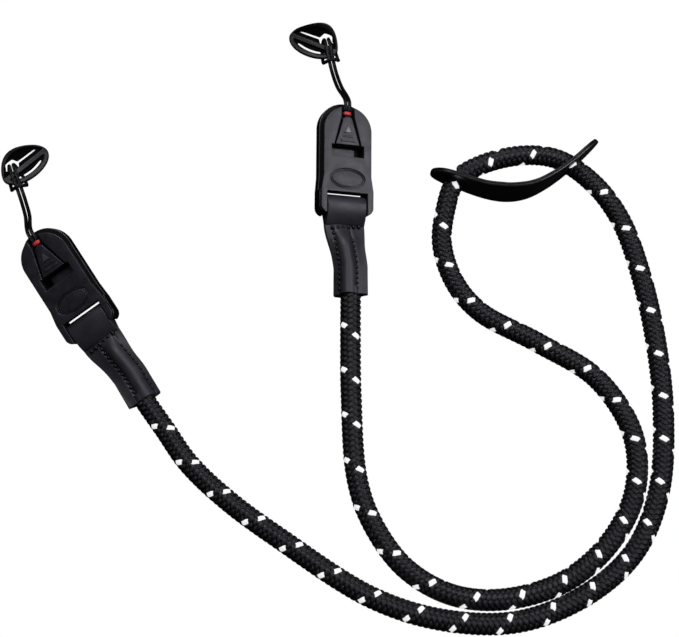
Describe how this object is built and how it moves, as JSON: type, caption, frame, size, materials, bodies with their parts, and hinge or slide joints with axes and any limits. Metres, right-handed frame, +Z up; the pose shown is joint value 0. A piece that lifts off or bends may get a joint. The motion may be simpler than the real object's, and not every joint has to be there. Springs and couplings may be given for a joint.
{
  "type": "camera neck strap",
  "caption": "Braided rope camera neck strap with a leather shoulder pad, sewn leather ends, quick-release buckles and corded anchors, laid flat.",
  "frame": {"origin": "on the surface that the strap lies on, under the middle of the box of all its pieces but the rope and the two anchor cords", "axes": "+Z up, +X to the right and +Y away from the viewer of the picture"},
  "size_m": [0.2853, 0.273, 0.0244],
  "materials": {
    "rope_braid": "matte black braid with one white tracer strand",
    "smooth_leather": "smooth black leather with burnished edges",
    "tab_leather": "smooth black leather, sewn",
    "protector_leather": "soft black leather",
    "buckle_core": "fine textured black",
    "buckle_plastic": "fine textured black",
    "bead_red": "red, satin",
    "anchor_cord": "thin woven black cord"
  },
  "bodies": {
    "root": {"rope": "rope_braid", "shoulder_pad": "smooth_leather", "right_clip_housing": "buckle_core", "right_clip_faceplate": "buckle_plastic", "right_anchor_wedge": "buckle_plastic", "right_anchor_bead": "bead_red", "right_leather_tab": "tab_leather", "right_anchor_cord": "anchor_cord", "right_protector": "protector_leather", "left_clip_housing": "buckle_core", "left_clip_faceplate": "buckle_plastic", "left_anchor_wedge": "buckle_plastic", "left_anchor_bead": "bead_red", "left_leather_tab": "tab_leather", "left_anchor_cord": "anchor_cord", "left_protector": "protector_leather"}
  },
  "joints": []
}
